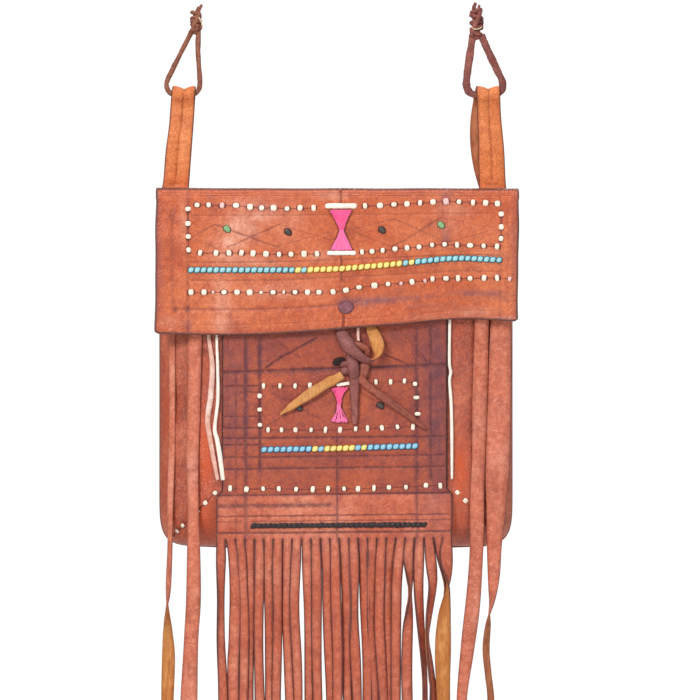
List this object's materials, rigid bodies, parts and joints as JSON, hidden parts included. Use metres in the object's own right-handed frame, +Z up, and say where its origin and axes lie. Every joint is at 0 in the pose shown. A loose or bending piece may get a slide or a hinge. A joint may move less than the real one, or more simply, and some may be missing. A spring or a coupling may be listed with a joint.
{
  "type": "leather shoulder purse",
  "caption": "Flat tooled leather purse with a front flap, laced patterns, a cut fringe and strap tabs hung from lace loops.",
  "frame": {"origin": "hanging point, midway between the two lace knots", "axes": "+Z up, the front and its flap face -Y, +X to the right seen from the front"},
  "size_m": [0.2714, 0.0408, 0.5958],
  "materials": {
    "flap_leather": "satin, burnished edges",
    "side_leather": "satin, rubbed",
    "panel_leather": "satin, tooled, stained dark red",
    "tab_leather": "satin",
    "cord_leather": "matt",
    "thong_leather": "satin grain side",
    "flesh_side": "matt suede",
    "white_lacing": "satin",
    "blue_lacing": "satin",
    "yellow_lacing": "satin",
    "pink_lacing": "satin",
    "green_lacing": "satin",
    "black_lacing": "satin"
  },
  "bodies": {
    "root": {"back_panel": "side_leather", "flap_root_strip": "flap_leather", "gusset": "side_leather", "fringed_panel": "panel_leather", "left_welt": "white_lacing", "right_welt": "white_lacing", "left_mitre_lace": "white_lacing", "right_mitre_lace": "white_lacing", "left_tab": "tab_leather", "right_tab": "tab_leather", "left_lace_loop": "cord_leather", "right_lace_loop": "cord_leather", "left_lace_knot": "cord_leather", "right_lace_knot": "cord_leather", "left_inner_strip": "panel_leather", "left_outer_strip": "panel_leather", "right_inner_strip": "panel_leather", "right_outer_strip": "panel_leather", "thong_knot": "thong_leather", "tan_tail": "flesh_side", "purple_tail": "thong_leather", "red_tail": "cord_leather", "panel_lace_top_left": "white_lacing", "panel_lace_top_right": "white_lacing", "panel_lace_bottom": "white_lacing", "panel_lace_left": "white_lacing", "panel_lace_right": "white_lacing", "seam_lace": "white_lacing", "panel_hourglass": "pink_lacing", "panel_bar": "white_lacing", "panel_dot_left": "black_lacing", "panel_dot_right": "black_lacing", "panel_braid_blue_left": "blue_lacing", "panel_braid_yellow": "yellow_lacing", "panel_braid_blue_right": "blue_lacing", "apron_braid": "black_lacing"},
    "flap": {"flap": "flap_leather", "closure_loop": "flesh_side", "closure_patch": "thong_leather", "flap_frame_lace_top_left": "white_lacing", "flap_frame_lace_top_right": "white_lacing", "flap_frame_lace_bottom_left": "white_lacing", "flap_frame_lace_bottom_right": "white_lacing", "flap_frame_lace_left": "white_lacing", "flap_frame_lace_right": "white_lacing", "flap_lower_lace_left": "white_lacing", "flap_lower_lace_right": "white_lacing", "flap_hourglass": "pink_lacing", "flap_bar_top": "white_lacing", "flap_bar_bottom": "white_lacing", "flap_dot_green_left": "green_lacing", "flap_dot_black_left": "black_lacing", "flap_dot_black_right": "black_lacing", "flap_dot_green_right": "green_lacing", "flap_braid_blue_left": "blue_lacing", "flap_braid_yellow": "yellow_lacing", "flap_braid_blue_right": "blue_lacing"}
  },
  "joints": [
    {"name": "flap_hinge", "type": "hinge", "parent": "root", "child": "flap", "pos_m": [0, 0.0074, -0.129], "axis": [-1, 0, 0], "range_deg": [0, 85]}
  ]
}
